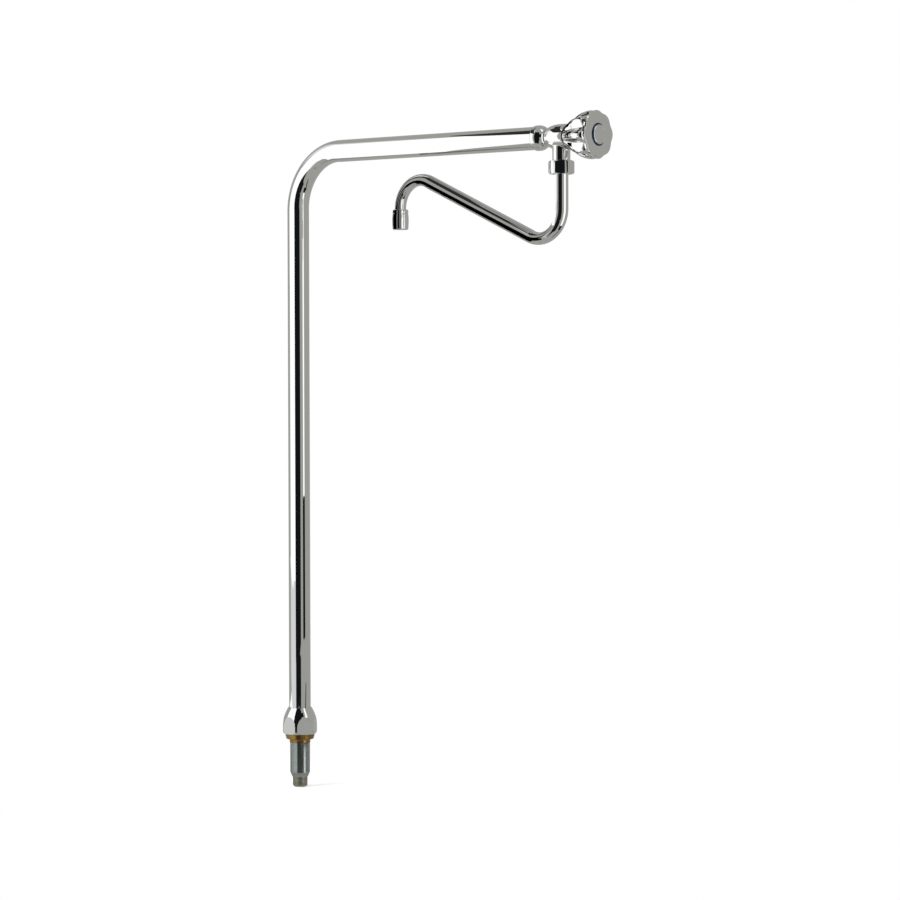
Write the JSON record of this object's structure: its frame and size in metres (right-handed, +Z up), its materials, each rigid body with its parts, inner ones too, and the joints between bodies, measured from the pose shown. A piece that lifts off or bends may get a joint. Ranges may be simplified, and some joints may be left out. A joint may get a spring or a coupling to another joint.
{
  "type": "swivel pillar tap",
  "caption": "Deck-mounted swivel pillar tap with a bent pillar, a lobed handle valve at the arm's end and a swinging S-shaped spout.",
  "frame": {"origin": "on the pillar's axis in the plane where the flange meets the deck", "axes": "+Z up along the pillar, +X along the arm towards the handle at rest"},
  "size_m": [0.5486, 0.0622, 0.9125],
  "materials": {
    "chrome": "polished chromium plate",
    "brass": "turned, bare",
    "steel": "fine thread, zinc plated",
    "nickel": "nickel plated, satin",
    "stainless": "satin",
    "blue_plastic": "glossy",
    "white_plastic": "matt",
    "nylon": "matt",
    "rubber": "matt"
  },
  "bodies": {
    "base": {"flange_body": "brass", "mounting_shank": "steel", "inlet_tail": "nickel", "base_nut": "chrome", "base_slide_ring": "nylon", "base_retaining_ring": "nylon"},
    "pillar": {"pillar_tube": "chrome", "pillar_spigot": "brass", "spigot_o_rings": "rubber", "arm_collar": "chrome", "inlet_washer": "nylon", "valve_body": "chrome", "headwork": "brass", "headwork_gasket": "nylon", "spout_nut": "chrome", "spout_slide_ring": "nylon", "spout_retaining_ring": "nylon"},
    "handle": {"handle": "chrome", "handle_screw": "stainless", "index_ring": "blue_plastic", "index_cap": "chrome", "spindle": "brass", "spindle_o_rings": "rubber"},
    "plunger": {"valve_plunger": "brass", "seat_washer": "rubber", "washer_screw": "stainless"},
    "spout": {"spout_tube": "chrome", "spout_bush": "brass", "spout_o_rings": "rubber", "aerator_ferrule": "chrome", "aerator_housing": "chrome", "aerator_insert": "white_plastic", "aerator_gasket": "rubber"}
  },
  "joints": [
    {"name": "pillar_swivel", "type": "hinge", "parent": "base", "child": "pillar", "pos_m": [0, 0, 0], "axis": [0, 0, 1], "continuous": true},
    {"name": "spout_swivel", "type": "hinge", "parent": "pillar", "child": "spout", "pos_m": [0.462, 0, 0.774], "axis": [0, 0, 1], "continuous": true},
    {"name": "handle_turn", "type": "hinge", "parent": "pillar", "child": "handle", "pos_m": [0.462, 0, 0.814], "axis": [1, 0, 0], "range_deg": [0, 900]},
    {"name": "plunger_lift", "type": "slide", "parent": "pillar", "child": "plunger", "axis": [1, 0, 0], "range_m": [0, 0.00505]}
  ],
  "couplings": [
    {"joint": "plunger_lift", "follows": "handle_turn", "m_per_rad": 0.00031831}
  ]
}
